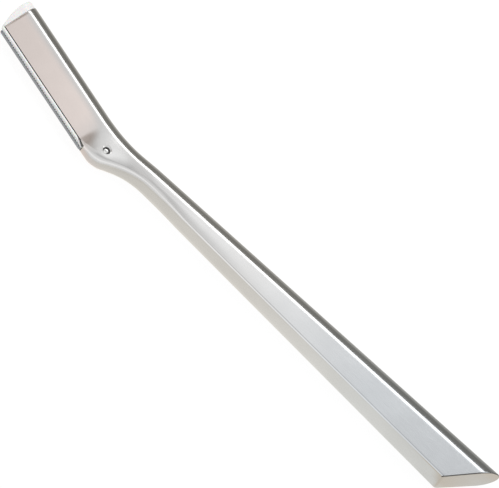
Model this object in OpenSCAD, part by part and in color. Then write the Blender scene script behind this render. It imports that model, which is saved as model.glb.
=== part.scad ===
// Facial and eyebrow razor: a one-piece steel handle whose slotted head takes a
// replaceable blade cartridge that slides in from the head's open end.
//
// The sizes are laid out from the axis of the neck pin. A station is a distance
// along the handle's middle line, counted from the pin: plus towards the butt,
// minus towards the head. A reach is a distance across that line: plus towards
// the rounded spine, minus towards the blade. The flat back lies on z = 0.

/* [Grip] */
// Length from the neck pin to the blade-side corner of the butt
grip_len = 112.4; // [90:0.1:130]
// Reach of the spine where the grip leaves the neck
grip_spine = 6.8; // [6.6:0.05:8]
// Reach of the spine at the butt
butt_spine = 9; // [8.5:0.05:12]
// Distance of the butt's blade-side edge from the pin's line
butt_out = 2.85; // [0:0.05:4]
// Height of the blade-side wall at the waist
waist_wall = 5.6; // [5.2:0.1:6.5]
// Height of the blade-side wall at the butt
butt_wall = 7.2; // [6:0.1:9]
// Height by which the front face rises from that wall to the spine
face_rise = 0.85; // [0.3:0.05:1.2]
// Slant of the butt's cut, away from square
butt_cut = 39; // [0:1:45]
// Radius along the grip's two crisp edges
edge_r = 0.6; // [0.15:0.05:0.8]

/* [Neck] */
// Angle between the head and the grip
bend_angle = 14.7; // [8:0.1:20]
// Radius of the bend, on the line through the pin
bend_r = 60; // [45:1:80]
// Reach by which the waist is cut in past the pin's line, on the blade side
waist_in = 0.75; // [0:0.1:1.2]
// Reach by which the front edge is set in from the wall near the waist
ridge_in = 1.1; // [0:0.1:1.5]
// Station of the waist
waist_at = 13; // [10:0.5:18]
// Distance of the bulge's crest from the pin's line
bulge_out = 4.6; // [4:0.1:5.2]
// Height of the blade-side wall at the bulge
neck_wall = 5; // [4.6:0.1:5.4]
// Radius of the bulge's rounded edges
bulge_r = 2.6; // [1:0.1:2.8]

/* [Head] */
// Length from the neck pin to the head's open end
head_len = 39; // [34:0.5:46]
// Thickness of the head and neck at the spine
head_t = 6; // [5.6:0.1:7]
// Reach of the head's spine
head_spine = 6.35; // [6:0.05:7.5]
// Distance of the two lips from the pin's line
lip_out = 3.55; // [3.4:0.05:4]
// Thickness of each lip beside the slot
lip_wall = 0.5; // [0.4:0.05:0.8]
// Radius along the lips' edges
lip_edge_r = 0.12; // [0.08:0.01:0.2]
// Slant of the head's open end, away from square
head_slant = 2.5; // [0:0.5:8]
// Distance from the pin to the slot's mouth on the blade side
mouth_at = 3.7; // [3.2:0.1:6]

/* [Neck pin] */
// Radius of the pin
pin_r = 0.85; // [0.7:0.05:1]
// Height of the pin's polished dome
dome_h = 0.4; // [0.2:0.05:0.5]
// Height by which the front dome stands proud of the face
dome_proud = 0.2; // [0.05:0.05:0.3]
// Radius of the countersink round each dome
sink_r = 1.25; // [1.15:0.05:1.4]
// Depth of each countersink
sink_depth = 0.3; // [0.2:0.05:0.5]
// Clearance round the pin in the handle
pin_fit = 0.02; // [0.01:0.01:0.05]

/* [Cartridge] */
// Clearance between the cartridge and each wall of the slot
slot_fit = 0.1; // [0.05:0.01:0.15]
// Thickness of each plastic leaf
leaf_t = 0.45; // [0.35:0.05:0.6]
// Distance that the leaves show beyond the lips
leaf_reveal = 0.64; // [0.4:0.02:0.7]
// Radius of the two pegs through the stack
peg_r = 0.5; // [0.35:0.05:0.7]
// Clearance round the pegs
peg_fit = 0.04; // [0.02:0.01:0.08]
// Clearance round the pin in the fork
fork_fit = 0.08; // [0.03:0.01:0.1]
// Thickness of the fork's prongs
fork_wall = 0.57; // [0.4:0.01:0.8]
// Gap between the end cap and the head
cap_seat = 0.05; // [0.02:0.01:0.1]
// Height of the end cap's crown
crown_h = 2.6; // [1.5:0.1:4]
// Radius of the crown's curve
crown_r = 15; // [12:0.5:25]
// Reach of the crown's highest point
crown_peak = 4; // [2:0.1:5]
// Radius of the cap's corner beside the spine
cap_corner_r = 1.2; // [0.5:0.1:1.4]
// Distance by which the cap stays inside the head's outline
cap_inset = 0.1; // [0.05:0.05:0.3]

/* [Blade and guard] */
// Thickness of the blade
blade_t = 0.2; // [0.1:0.02:0.3]
// Width of the blade
blade_w = 3.9; // [3.4:0.1:4.2]
// Distance that the blade's edge shows beyond the lips
blade_reveal = 1.35; // [1.1:0.05:1.5]
// Width of the honed bevel
bevel_w = 0.45; // [0.2:0.05:0.5]
// Radius of the blade's two corners
blade_corner_r = 0.4; // [0.3:0.1:0.9]
// Thickness of the guard's steel
guard_t = 0.15; // [0.1:0.01:0.2]
// Distance from the guard's teeth to the blade's edge
guard_back = 0.6; // [0.5:0.02:0.7]
// Pitch of the guard's teeth
tooth_pitch = 0.7; // [0.6:0.05:1.2]
// Width of the gap between two teeth
tooth_gap = 0.3; // [0.2:0.05:0.5]
// Depth of the gaps
tooth_depth = 0.2; // [0.1:0.02:0.4]

/* [Hidden] */

steel = "#c9c9c6";
polished = "#e2e2e0";
plastic = "#f4f4f1";
blade_steel = "#b8bcc0";
guard_steel = "#dddfe0";

// Overrun of a cut past the face that it opens, and of a solid into one that it joins
over = 0.5;
// Divisions of the spine's round, of an edge's round and of a true circle
spine_steps = 18;
edge_steps = 5;
round_steps = 48;
// Spacing of the stations in the neck, and the number of them along the grip
neck_step = 1;
grip_steps = 8;

// The bend's arc runs this far along the middle line on each side of the pin
arc_half = bend_r * bend_angle * PI / 360;
tangent = bend_r * tan(bend_angle / 2);

// The slot's width is the cartridge's stack of sheets with a clearance each side
stack_t = blade_t + 2 * guard_t + 2 * leaf_t;
slot_t = stack_t + 2 * slot_fit;
lip_t = slot_t + 2 * lip_wall;
mid_z = head_t / 2;

// The fork wraps the pin, and the slot's floor clears the fork
fork_in = pin_r + fork_fit;
fork_out = fork_in + fork_wall;
slot_reach = fork_out + slot_fit;

blade_edge = -(lip_out + blade_reveal);
blade_back = blade_edge + blade_w;
guard_edge = blade_edge + guard_back;
guard_fold = blade_back + guard_t;
leaf_edge = -(lip_out + leaf_reveal);

// The blade lies between the mouth's end and the head's open end
blade_low = mouth_at + 2 * slot_fit;
blade_high = head_len - 2 * slot_fit;
blade_len = blade_high - blade_low;
// The tongue ends short of the blade
tongue_end = blade_low - slot_fit / 2;
// Places of the pegs, as shares of the blade's length and width
peg_length_shares = [0.2, 0.8];
peg_width_share = 0.62;
peg_y = blade_edge + peg_width_share * blade_w;

// Origin: on the flat back, in the middle of the grip
origin_x = grip_len / 2;
origin_y = (grip_spine + waist_in + butt_spine - butt_out) / 4;

// Shape of the blade-side edge from the bulge's crest to the waist, and the way
// its round fades into the crisp edge: shares of the length and of the change
foot_shares = [[0, 0], [0.1, 0.04], [0.2, 0.16], [0.32, 0.4],
               [0.47, 0.66], [0.635, 0.85], [0.82, 0.96], [1, 1]];
fade_shares = [[0, 0], [0.25, 0.36], [0.45, 0.62], [0.62, 0.8], [0.82, 0.95], [1, 1]];
// Stations of the flare's start, the bulge's crest and the end of the fade, as
// shares of the waist's station
flare_share = 0.5;
crest_share = 0.13;
fade_end_share = 1.3;
// Largest share of a wall's height that the radius of one edge takes
edge_share = 0.48;
// Largest share of the face's flat that the set-in edge takes
lap_share = 0.75;
flare_at = -flare_share * waist_at;
crest_at = -crest_share * waist_at;
fade_end = fade_end_share * waist_at;

function clamp01(x) = min(1, max(0, x));
function ease(from, to, x) = let (s = clamp01((x - from) / (to - from))) s * s * (3 - 2 * s);
function mix(a, b, s) = a + (b - a) * s;

// Slope of a share table at one of its points, and the smooth curve through it
function slope(t, i) =
    i == 0 || i == len(t) - 1 ? 0 : (t[i + 1][1] - t[i - 1][1]) / (t[i + 1][0] - t[i - 1][0]);
function segment(t, x, i = 0) = i >= len(t) - 2 || x < t[i + 1][0] ? i : segment(t, x, i + 1);
function curve(t, x) =
    let (c = clamp01(x), i = segment(t, c), h = t[i + 1][0] - t[i][0], s = (c - t[i][0]) / h)
    t[i][1] * (1 + 2 * s) * pow(1 - s, 2) + slope(t, i) * h * s * pow(1 - s, 2)
    + t[i + 1][1] * s * s * (3 - 2 * s) + slope(t, i + 1) * h * s * s * (s - 1);

// Outline of the handle at a station: spine, blade-side edge, the blade-side
// wall's height past the head and its foot and top, thickness at the spine, radius
// of the wall's edges and reach by which the front one is set in
function along_grip(w) = (w - waist_at) / (grip_len - waist_at);
function spine(w) = mix(head_spine, mix(grip_spine, butt_spine, along_grip(w)), ease(flare_at / 2, waist_at, w));
function blade_side(w) =
    w < crest_at ? -mix(lip_out, bulge_out, ease(flare_at, 2 * crest_at, w))
    : w < waist_at ? mix(-bulge_out, waist_in, curve(foot_shares, (w - crest_at) / (waist_at - crest_at)))
    : mix(waist_in, -butt_out, ease(waist_at, 2 * waist_at, w) * along_grip(w));
function wall_height(w) = mix(neck_wall, mix(waist_wall, butt_wall, along_grip(w)), ease(crest_at, waist_at, w));
function flare(w) = ease(flare_at, 0, w);
function wall_foot(w) = mix((head_t - lip_t) / 2, 0, flare(w));
function wall_top(w) = mix((head_t + lip_t) / 2, wall_height(w), flare(w));
function thickness(w) = mix(head_t, wall_height(w) + face_rise, ease(0, waist_at, w));
function wall_r(w) =
    w < crest_at ? mix(lip_edge_r, bulge_r, ease(flare_at, crest_at, w))
    : mix(bulge_r, edge_r, curve(fade_shares, (w - crest_at) / (fade_end - crest_at)));
function set_in(w) = ridge_in * ease(2 * crest_at, 0.6 * waist_at, w) * (1 - ease(0.8 * waist_at, 2.2 * waist_at, w));

// Angle at which a line from a point meets a round about [0, 0]
function touch(p, r) = atan2(p[1], p[0]) - acos(r / norm(p));
function facing(a) = [sin(a), -cos(a)];
// Quarter round of a corner, from a point on one side to a point on the other
function corner(p, s, e) =
    [for (i = [0 : edge_steps]) let (a = 90 * i / edge_steps) p + (s - p) * (1 - sin(a)) + (e - p) * (1 - cos(a))];
function mirrored(q) = [q[0], -q[1]];
// Cross-section [reach, height], anticlockwise from the back to the front of the
// spine's round, then round the two edges of the wall
function section_of(t, back, front, foot, top, r, inward) =
    let (round_r = t / 2,
         middle = back - round_r,
         edge = min(r, edge_share * (top - foot)),
         p = [front - middle, top - round_r],
         q = [front - middle, round_r - foot],
         face = facing(touch(p, round_r)),
         flat = sqrt(p * p - round_r * round_r),
         lap = min(edge + inward, lap_share * flat),
         from = -touch(q, round_r),
         to = touch(p, round_r),
         arc = [for (i = [0 : spine_steps]) let (a = mix(from, to, i / spine_steps)) round_r * [cos(a), sin(a)]],
         high = corner(p, p + lap * face, p - [0, (edge + lap) / 2]),
         low = [for (k = corner(q, q - [0, edge], q + edge * facing(-from))) mirrored(k)])
    [for (k = concat(arc, high, low)) k + [middle, round_r]];
function section(w) =
    section_of(thickness(w), spine(w), blade_side(w), wall_foot(w), wall_top(w), wall_r(w), set_in(w));

// Place of a station and reach in the plan
function plan(w, v) =
    w > arc_half ? [tangent + w - arc_half, v]
    : w < -arc_half ? turned([w + arc_half - tangent, v])
    : let (a = (arc_half - w) * 180 / (PI * bend_r))
      [tangent - (bend_r - v) * sin(a), bend_r - (bend_r - v) * cos(a)];
function turned(q) = [q[0] * cos(bend_angle) + q[1] * sin(bend_angle),
                      q[1] * cos(bend_angle) - q[0] * sin(bend_angle)];

// Stations, each with the slant by which its ring leans over and the reach of
// the point that it leans about
head_end = -(head_len + arc_half - tangent);
neck_start = 1.5 * flare_at;
neck_end = fade_end + 2 * neck_step;
stations = concat(
    [for (i = [0 : 3]) let (s = i / 3) [mix(head_end, neck_start, s), -head_slant * (1 - s), -lip_out]],
    [for (w = [neck_start + neck_step : neck_step : neck_end - neck_step / 2]) [w, 0, 0]],
    [for (i = [0 : grip_steps]) let (s = i / grip_steps) [mix(neck_end, grip_len, s), butt_cut * s, -butt_out * s]]);
// Station of a ring's point, which slides along the handle's own surface as the
// ring leans over, and the ring itself
function leaning(w, slant, about, j, tries = 3) =
    let (at = tries == 1 ? w : leaning(w, slant, about, j, tries - 1))
    w + tan(slant) * (section(at)[j][0] - about);
function ring(w, slant, about) =
    [for (j = [0 : len(section(w)) - 1])
        let (at = slant == 0 ? w : leaning(w, slant, about, j), q = section(at)[j], xy = plan(at, q[0]))
        [xy[0], xy[1], q[1]]];

// Solid between rings that all have the same number of points
module skin(rings) {
    n = len(rings[0]);
    last = len(rings) - 1;
    polyhedron(
        points = [for (r = rings) for (p = r) p],
        faces = concat(
            [[for (j = [0 : n - 1]) j]],
            [[for (j = [n - 1 : -1 : 0]) last * n + j]],
            [for (i = [0 : last - 1]) for (j = [0 : n - 1])
                let (a = i * n + j, b = i * n + (j + 1) % n) each [[a, a + n, b + n], [a, b + n, b]]]));
}

module in_part() { translate([-origin_x, -origin_y, 0]) children(); }
// The head's own frame has its x axis along the head, towards the neck
module in_head() { rotate([0, 0, -bend_angle]) children(); }
// Box in the head's frame between two distances from the pin, two reaches and two heights
module head_box(u, v, z) {
    translate([-u[1], v[0], z[0]]) cube([u[1] - u[0], v[1] - v[0], z[1] - z[0]]);
}

module slot() {
    z = [mid_z - slot_t / 2, mid_z + slot_t / 2];
    head_box([mouth_at, head_len + over], [-(bulge_out + blade_reveal + over), slot_reach], z);
    head_box([0, mouth_at + over], [-slot_reach, slot_reach], z);
    translate([0, 0, z[0]]) cylinder(r = slot_reach, h = slot_t, $fn = round_steps);
}

// Height of the front face at the neck pin
pin_top = let (p = [blade_side(0) - spine(0) + head_t / 2, wall_top(0) - head_t / 2])
    wall_top(0) - blade_side(0) * tan(touch(p, head_t / 2) - 90);

module pin_hole() {
    translate([0, 0, -over]) cylinder(r = pin_r + pin_fit, h = pin_top + 2 * over, $fn = round_steps);
    for (side = [0, 1])
        translate([0, 0, side * pin_top]) mirror([0, 0, side])
            translate([0, 0, -pin_fit])
                cylinder(r1 = sink_r, r2 = pin_r + pin_fit, h = sink_depth + pin_fit, $fn = round_steps);
}

module handle_body() {
    color(steel) in_part() difference() {
        skin([for (s = stations) ring(s[0], s[1], s[2])]);
        in_head() slot();
        pin_hole();
    }
}

// Shank with a ball-shaped end, from z = 0 up to the dome's top
module domed_rod(length) {
    ball_r = (pin_r * pin_r + dome_h * dome_h) / (2 * dome_h);
    cylinder(r = pin_r, h = length - dome_h, $fn = round_steps);
    intersection() {
        translate([0, 0, length - ball_r]) sphere(r = ball_r, $fn = round_steps);
        translate([0, 0, length - dome_h]) cylinder(r = pin_r, h = dome_h, $fn = round_steps);
    }
}

module neck_pin() {
    color(polished) in_part() {
        translate([0, 0, mid_z]) domed_rod(pin_top - mid_z + dome_proud);
        translate([0, 0, mid_z]) mirror([0, 0, 1]) domed_rod(mid_z - dome_proud / 2);
    }
}

module pegs(r, z) {
    for (share = peg_length_shares)
        translate([-(blade_low + share * blade_len), peg_y, z[0]])
            cylinder(r = r, h = z[1] - z[0], $fn = round_steps);
}

// Crowned end: the head's own outline, cut in plan to the head's slanted end
// and to the crown's curve
module end_cap() {
    foot = head_len + cap_seat;
    top = head_len + crown_h;
    back = head_spine - cap_inset;
    t = head_t - 2 * cap_inset;
    wall = lip_t / 2 - cap_inset;
    intersection() {
        translate([-foot, 0, cap_inset]) rotate([90, 0, -90]) linear_extrude(crown_h)
            polygon([for (q = section_of(t, back, cap_inset - lip_out, t / 2 - wall, t / 2 + wall, lip_edge_r, 0))
                     [-q[0], q[1]]]);
        linear_extrude(head_t) intersection() {
            translate([crown_r - top, crown_peak]) circle(r = crown_r, $fn = 4 * round_steps);
            translate([-foot, -lip_out]) rotate([0, 0, head_slant])
                translate([-2 * crown_h, -over]) square([2 * crown_h, lip_out + head_spine + 2 * over]);
            union() {
                translate([-top, -lip_out]) square([crown_h, lip_out + back - cap_corner_r]);
                translate([cap_corner_r - top, -lip_out]) square([crown_h - cap_corner_r, lip_out + back]);
                translate([cap_corner_r - top, back - cap_corner_r]) circle(r = cap_corner_r, $fn = round_steps);
            }
        }
    }
}

module cartridge_frame() {
    z = [mid_z - stack_t / 2, mid_z + stack_t / 2];
    color(plastic) in_part() in_head() {
        end_cap();
        head_box([tongue_end - over, head_len + 2 * cap_seat], [guard_fold, fork_out], z);
        head_box([blade_low, head_len + 2 * cap_seat], [leaf_edge, guard_fold + guard_t], [z[1] - leaf_t, z[1]]);
        pegs(peg_r, [z[0], z[1] - leaf_t / 2]);
        difference() {
            union() {
                head_box([0, tongue_end], [-fork_out, fork_out], z);
                translate([0, 0, z[0]]) cylinder(r = fork_out, h = stack_t, $fn = round_steps);
            }
            translate([0, 0, z[0] - over]) cylinder(r = fork_in, h = stack_t + 2 * over, $fn = round_steps);
            translate([0, -fork_in, z[0] - over]) cube([fork_out + over, 2 * fork_in, stack_t + 2 * over]);
        }
    }
}

module cartridge_cover() {
    z = [mid_z - stack_t / 2, mid_z - stack_t / 2 + leaf_t];
    color(plastic) in_part() in_head() difference() {
        head_box([blade_low, blade_high], [leaf_edge, guard_fold - peg_fit], z);
        pegs(peg_r + peg_fit, z + [-over, over]);
    }
}

// Strip of sheet in the head's frame with its two blade-side corners rounded
module strip(edge, back, corner_r) {
    difference() {
        translate([-blade_high, edge]) square([blade_len, back - edge]);
        for (side = [0, 1]) translate([-(blade_high + blade_low) / 2, edge]) mirror([side, 0])
            translate([blade_len / 2 - corner_r, 0]) difference() {
                translate([0, -over]) square([corner_r + over, corner_r + over]);
                translate([0, corner_r]) circle(r = corner_r, $fn = round_steps);
            }
    }
}

module razor_blade() {
    half = blade_t / 2;
    color(blade_steel) in_part() in_head() difference() {
        intersection() {
            translate([0, 0, mid_z - half]) linear_extrude(blade_t) strip(blade_edge, blade_back, blade_corner_r);
            translate([-blade_low, 0, mid_z]) rotate([90, 0, -90]) linear_extrude(blade_len)
                polygon([[-blade_edge, 0], [-blade_edge - bevel_w, half], [-blade_back, half],
                         [-blade_back, -half], [-blade_edge - bevel_w, -half]]);
        }
        pegs(peg_r + peg_fit, [mid_z - blade_t, mid_z + blade_t]);
    }
}

// Folded sheet over the blade's back, with a row of teeth on each side of its edge
module guard_cover() {
    outer = blade_t / 2 + guard_t;
    count = floor((blade_len - 2 * blade_corner_r) / tooth_pitch);
    row = (count - 1) * tooth_pitch + tooth_gap;
    first = (blade_low + blade_high - row) / 2;
    color(guard_steel) in_part() in_head() difference() {
        translate([0, 0, mid_z - outer]) linear_extrude(2 * outer)
            strip(guard_edge, guard_fold, blade_corner_r - guard_t);
        head_box([blade_low - over, blade_high + over], [guard_edge - over, blade_back],
                 [mid_z - blade_t / 2, mid_z + blade_t / 2]);
        pegs(peg_r + peg_fit, [mid_z - 2 * outer, mid_z + 2 * outer]);
        for (i = [0 : count - 1]) let (u = first + i * tooth_pitch)
            head_box([u, u + tooth_gap], [guard_edge - over, guard_edge + tooth_depth],
                     [mid_z - 2 * outer, mid_z + 2 * outer]);
    }
}

handle_body();
neck_pin();
cartridge_frame();
cartridge_cover();
razor_blade();
guard_cover();
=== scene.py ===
"""Facial razor: the dressed model of a one-piece steel handle and its slide-in blade cartridge.

All lengths are in metres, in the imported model's own frame. A station is a distance along the
handle's middle line from the neck pin, plus towards the butt. A reach is a distance across that
line, plus towards the rounded spine and minus towards the blade.
"""
import math

import bmesh
import bpy
from bpy.props import FloatProperty, FloatVectorProperty, PointerProperty
from mathutils import Matrix, Vector


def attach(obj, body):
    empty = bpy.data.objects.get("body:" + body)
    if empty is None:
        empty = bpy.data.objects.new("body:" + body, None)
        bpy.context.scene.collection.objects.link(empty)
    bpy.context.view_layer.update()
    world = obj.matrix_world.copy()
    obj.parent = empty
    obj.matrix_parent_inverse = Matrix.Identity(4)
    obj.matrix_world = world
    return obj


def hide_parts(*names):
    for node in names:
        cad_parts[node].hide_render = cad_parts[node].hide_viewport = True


bl_info = {
    "name": "Facial razor",
    "version": (1, 0, 0),
    "blender": (4, 5, 0),
    "location": "3D View > Sidebar > Razor",
    "description": "Builds a steel facial razor with its blade cartridge around the packed model",
    "category": "Add Mesh",
}

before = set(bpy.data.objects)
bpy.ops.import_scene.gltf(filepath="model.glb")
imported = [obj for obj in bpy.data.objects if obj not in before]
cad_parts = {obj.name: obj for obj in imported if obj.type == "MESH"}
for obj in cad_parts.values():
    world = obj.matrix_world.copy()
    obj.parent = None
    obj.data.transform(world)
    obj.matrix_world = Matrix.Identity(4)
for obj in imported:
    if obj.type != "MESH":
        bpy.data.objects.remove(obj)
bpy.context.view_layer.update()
MM = 0.001
OVER = 0.5 * MM


# Sizes and colours

def length(label, mm, text):
    return FloatProperty(name=label, description=text, default=mm * MM, precision=5, unit="LENGTH")


def angle(label, degrees, text):
    return FloatProperty(name=label, description=text, default=math.radians(degrees), subtype="ANGLE")


def tint(label, rgb, text):
    return FloatVectorProperty(name=label, description=text, default=(*rgb, 1.0), size=4,
                               min=0.0, max=1.0, subtype="COLOR")


def fraction(label, value, text):
    return FloatProperty(name=label, description=text, default=value, min=0.0, max=1.0, subtype="FACTOR")


class HandleSizes(bpy.types.PropertyGroup):
    grip_len: length("Grip length", 112.4, "Neck pin to the blade-side corner of the butt")
    grip_spine: length("Grip spine", 6.8, "Reach of the spine where the grip leaves the neck")
    butt_spine: length("Butt spine", 9, "Reach of the spine at the butt")
    butt_out: length("Butt reach", 2.85, "Distance of the butt's blade-side edge from the pin's line")
    waist_wall: length("Waist wall", 5.6, "Height of the blade-side wall at the waist")
    butt_wall: length("Butt wall", 7.2, "Height of the blade-side wall at the butt")
    face_rise: length("Face rise", 0.85, "Rise of the front face from the wall to the spine")
    butt_cut: angle("Butt cut", 39, "Slant of the butt's cut, away from square")
    face_crown: length("Face crown", 0.07, "Slight crown that polishing leaves on the front face")
    edge_r: length("Edge radius", 0.6, "Radius along the grip's two crisp edges")
    bend_angle: angle("Bend", 14.7, "Angle between the head and the grip")
    bend_r: length("Bend radius", 60, "Radius of the bend, on the line through the pin")
    waist_in: length("Waist cut", 0.75, "Reach by which the waist is cut in past the pin's line")
    ridge_in: length("Ridge", 1.1, "Reach by which the front edge is set in from the wall near the waist")
    waist_at: length("Waist station", 13, "Station of the waist")
    bulge_out: length("Bulge", 4.6, "Distance of the bulge's crest from the pin's line")
    bulge_r: length("Bulge radius", 2.6, "Radius of the bulge's rounded edges")
    neck_wall: length("Neck wall", 5, "Height of the blade-side wall at the bulge")
    head_len: length("Head length", 39, "Neck pin to the head's open end")
    head_t: length("Head thickness", 6, "Thickness of the head and neck at the spine")
    head_spine: length("Head spine", 6.35, "Reach of the head's spine")
    lip_out: length("Lips", 3.55, "Distance of the two lips from the pin's line")
    lip_wall: length("Lip thickness", 0.5, "Thickness of each lip beside the slot")
    lip_edge_r: length("Lip edge", 0.12, "Radius along the lips' edges")
    head_slant: angle("Head slant", 2.5, "Slant of the head's open end, away from square")
    mouth_at: length("Slot mouth", 3.7, "Distance from the pin to the slot's mouth on the blade side")
    end_edge: length("Head end rounding", 0.12, "Rounding of the edges round the head's open end")
    end_round: length("Butt rounding", 0.36, "Rounding of the edges round the butt's cut and the head's end")


class PinSizes(bpy.types.PropertyGroup):
    pin_r: length("Pin radius", 0.85, "Radius of the neck pin")
    dome_h: length("Dome height", 0.4, "Height of the pin's polished dome")
    dome_proud: length("Dome proud", 0.2, "Height by which the front dome stands proud of the face")
    sink_r: length("Countersink radius", 1.25, "Radius of the dished countersink round each dome")
    sink_depth: length("Countersink depth", 0.3, "Depth of each countersink")
    pin_fit: length("Pin clearance", 0.02, "Clearance round the pin in the handle")


class CartridgeSizes(bpy.types.PropertyGroup):
    slot_fit: length("Slot clearance", 0.1, "Clearance between the cartridge and each slot wall")
    leaf_t: length("Leaf thickness", 0.45, "Thickness of each plastic leaf")
    rib_h: length("Leaf rib", 0.5, "Height of the rib on the front leaf, beside the lip")
    leaf_reveal: length("Leaf reveal", 0.64, "Distance that the leaves show beyond the lips")
    peg_r: length("Peg radius", 0.5, "Radius of the two pegs through the stack")
    peg_fit: length("Peg clearance", 0.04, "Clearance round the pegs")
    fork_fit: length("Fork clearance", 0.08, "Clearance round the pin in the fork")
    fork_wall: length("Fork prongs", 0.57, "Thickness of the fork's prongs")
    cap_seat: length("Cap gap", 0.05, "Gap between the end cap and the head")
    crown_h: length("Crown height", 2.6, "Height of the end cap's crown")
    crown_r: length("Crown radius", 15, "Radius of the crown's curve")
    crown_peak: length("Crown peak", 4, "Reach of the crown's highest point")
    cap_corner_r: length("Cap corner", 1.2, "Radius of the cap's corner beside the spine")
    cap_inset: length("Cap inset", 0.1, "Distance by which the cap stays inside the head's outline")
    cap_round: length("Cap rounding", 0.45, "Rounding of the cap's moulded edges")
    blade_t: length("Blade thickness", 0.2, "Thickness of the blade")
    blade_w: length("Blade width", 3.9, "Width of the blade")
    blade_reveal: length("Blade reveal", 1.35, "Distance that the blade's edge shows beyond the lips")
    bevel_w: length("Bevel width", 0.45, "Width of the honed bevel")
    blade_corner_r: length("Blade corners", 0.4, "Radius of the blade's two corners")
    guard_t: length("Guard thickness", 0.15, "Thickness of the guard's steel")
    guard_back: length("Guard setback", 0.6, "Distance from the guard's teeth to the blade's edge")
    tooth_pitch: length("Tooth pitch", 0.7, "Pitch of the guard's teeth")
    tooth_gap: length("Tooth gap", 0.3, "Width of the gap between two teeth")
    tooth_depth: length("Tooth depth", 0.2, "Depth of the gaps")


class Finishes(bpy.types.PropertyGroup):
    # The steel tones at the head, the bulge and the butt are painted reflection tints, which copy how warm or
    # cool the steel looks in each place
    steel_warm: tint("Steel at the head", (0.81, 0.727, 0.69), "Satin steel near the head")
    steel_neck: tint("Steel at the neck", (0.645, 0.64, 0.635), "Satin steel at the neck and waist")
    steel_bulge: tint("Steel at the bulge", (0.67, 0.63, 0.61),
                      "Satin steel along the bulge, beside the slot's end")
    steel_cool: tint("Steel at the butt", (0.575, 0.595, 0.615), "Satin steel near the butt")
    # The slot steel's near-black colour is painted shade in the slot and on the lips' narrow walls, and a
    # painted dark line along the butt's upper rounding
    slot: tint("Slot steel", (0.12, 0.118, 0.115), "Shaded steel inside the slot")
    # The pin's two colours paint its reflection: the dark one a painted dark reflection round each dome, the
    # polished one a painted highlight in its middle
    pin_dark_reflection: tint("Pin's rim", (0.12, 0.12, 0.12), "Dark rim of the neck pin")
    polished: tint("Polished pin", (0.80, 0.80, 0.79), "Mirror-polished steel of the neck pin")
    plastic: tint("White plastic", (0.89, 0.885, 0.875), "Moulded cartridge")
    blade: tint("Blade steel", (0.36, 0.37, 0.38), "Ground blade steel")
    guard: tint("Guard steel", (0.78, 0.78, 0.77), "Bright stamped guard")
    satin: fraction("Satin", 0.18, "Roughness of the satin steel")
    grain: fraction("Grain", 0.05, "Depth of the steel's brushed grain")


# Small tools

def only(obj):
    """Leaves one object selected and active, for the tools that act on what is selected."""
    bpy.ops.object.select_all(action="DESELECT")
    obj.select_set(True)
    bpy.context.view_layer.objects.active = obj


def loft(name, rings):
    """Adds a filled circle, lays it on the first ring and extrudes it from ring to ring."""
    bpy.ops.object.select_all(action="DESELECT")
    bpy.ops.mesh.primitive_circle_add(vertices=len(rings[0]), radius=MM, fill_type="NGON",
                                      location=(0, 0, 0))
    obj = bpy.context.object
    obj.name = obj.data.name = name
    bpy.ops.object.mode_set(mode="EDIT")
    bpy.ops.mesh.select_mode(type="FACE")
    bpy.ops.mesh.select_all(action="SELECT")
    mesh = bmesh.from_edit_mesh(obj.data)
    order = mesh.verts.layers.int.new("order")
    mesh.faces.ensure_lookup_table()
    for j, vert in enumerate(mesh.faces[0].verts[:]):
        vert[order] = j
        vert.co = rings[0][j]
    for ring in rings[1:]:
        bpy.ops.mesh.extrude_region_move(TRANSFORM_OT_translate={"value": (0, 0, MM)})
        mesh = bmesh.from_edit_mesh(obj.data)
        order = mesh.verts.layers.int["order"]
        for vert in mesh.verts:
            if vert.select:
                vert.co = ring[vert[order]]
    mesh.verts.layers.int.remove(order)
    bpy.ops.mesh.select_all(action="SELECT")
    bpy.ops.mesh.normals_make_consistent(inside=False)
    bpy.ops.object.mode_set(mode="OBJECT")
    return obj


def prism(name, outline, low, high, place):
    """Adds an outline drawn out between two heights, which place(x, y, z) puts in the part."""
    return loft(name, [[place(x, y, z) for x, y in outline] for z in (low, high)])


def joined(obj, tool, way):
    """Cuts the tool from the object or unites the two, and deletes the tool."""
    step = obj.modifiers.new(way.title(), "BOOLEAN")
    step.operation, step.solver, step.object = way, "EXACT", tool
    only(obj)
    bpy.ops.object.modifier_apply(modifier=step.name)
    bpy.data.objects.remove(tool)
    if not obj.data.polygons:
        raise RuntimeError(f"nothing is left of {obj.name}")


def trim(obj, point, normal):
    """Cuts an object off beyond a plane and closes the cut."""
    only(obj)
    bpy.ops.object.mode_set(mode="EDIT")
    bpy.ops.mesh.select_all(action="SELECT")
    bpy.ops.mesh.bisect(plane_co=point, plane_no=normal, use_fill=True, clear_outer=True)
    bpy.ops.object.mode_set(mode="OBJECT")


def round_edges(obj, chosen, width, steps=3):
    """Rounds the edges for which chosen(edge) is true, in edit mode."""
    only(obj)
    bpy.ops.object.mode_set(mode="EDIT")
    bpy.ops.mesh.select_mode(type="EDGE")
    bpy.ops.mesh.select_all(action="DESELECT")
    mesh = bmesh.from_edit_mesh(obj.data)
    for edge in mesh.edges:
        edge.select_set(chosen(edge))
    bmesh.update_edit_mesh(obj.data)
    bpy.ops.mesh.bevel(offset=width, segments=steps, profile=0.5, clamp_overlap=True)
    bpy.ops.object.mode_set(mode="OBJECT")


def in_plane(point, normal, tolerance=1e-6):
    """True for an edge that lies in the plane."""
    return lambda edge: all(abs((v.co - Vector(point)).dot(Vector(normal))) < tolerance for v in edge.verts)


def smooth(obj, degrees=30):
    """Smooth shading up to an angle, with the large flat faces kept flat."""
    only(obj)
    bpy.ops.object.shade_smooth_by_angle(angle=math.radians(degrees))
    step = obj.modifiers.new("Weighted", "WEIGHTED_NORMAL")
    step.keep_sharp = True
    bpy.ops.object.modifier_apply(modifier=step.name)


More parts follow.
